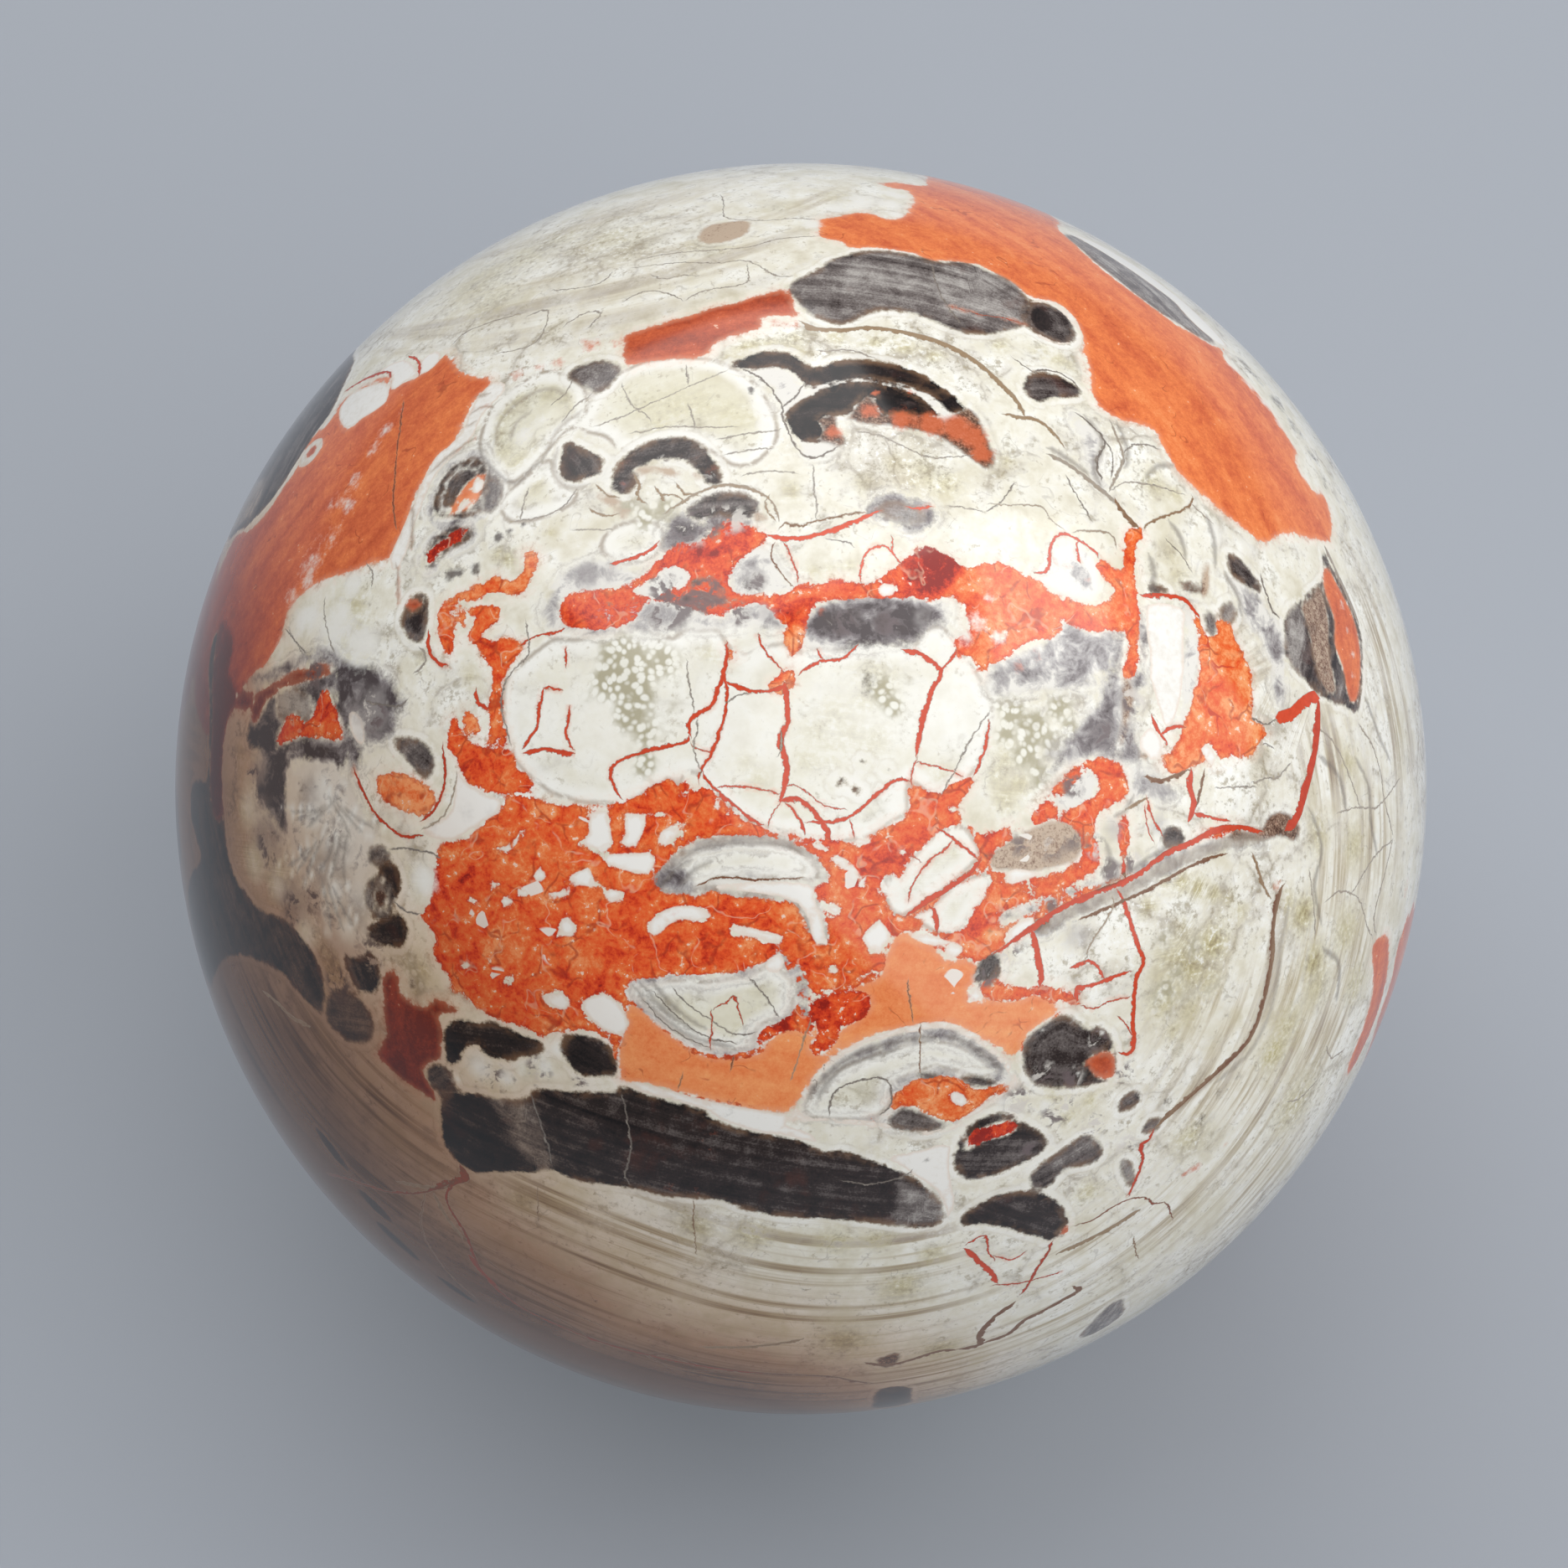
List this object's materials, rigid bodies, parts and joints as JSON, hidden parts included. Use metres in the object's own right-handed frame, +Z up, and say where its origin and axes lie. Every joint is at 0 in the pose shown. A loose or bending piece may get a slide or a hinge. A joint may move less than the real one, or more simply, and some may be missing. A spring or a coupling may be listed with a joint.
{
  "type": "polished crazy lace agate ball",
  "caption": "Solid polished stone ball, cream, red-orange and smoky grey, for display on a shelf or table.",
  "frame": {"origin": "middle of the small flat resting spot at the ball's lowest point", "axes": "+Z up through the ball's middle; -Y is the side towards the camera of the picture, +X to its right"},
  "size_m": [0.1, 0.1, 0.0996],
  "materials": {
    "agate": "polished"
  },
  "bodies": {
    "root": {"agate_ball": "agate"}
  },
  "joints": []
}
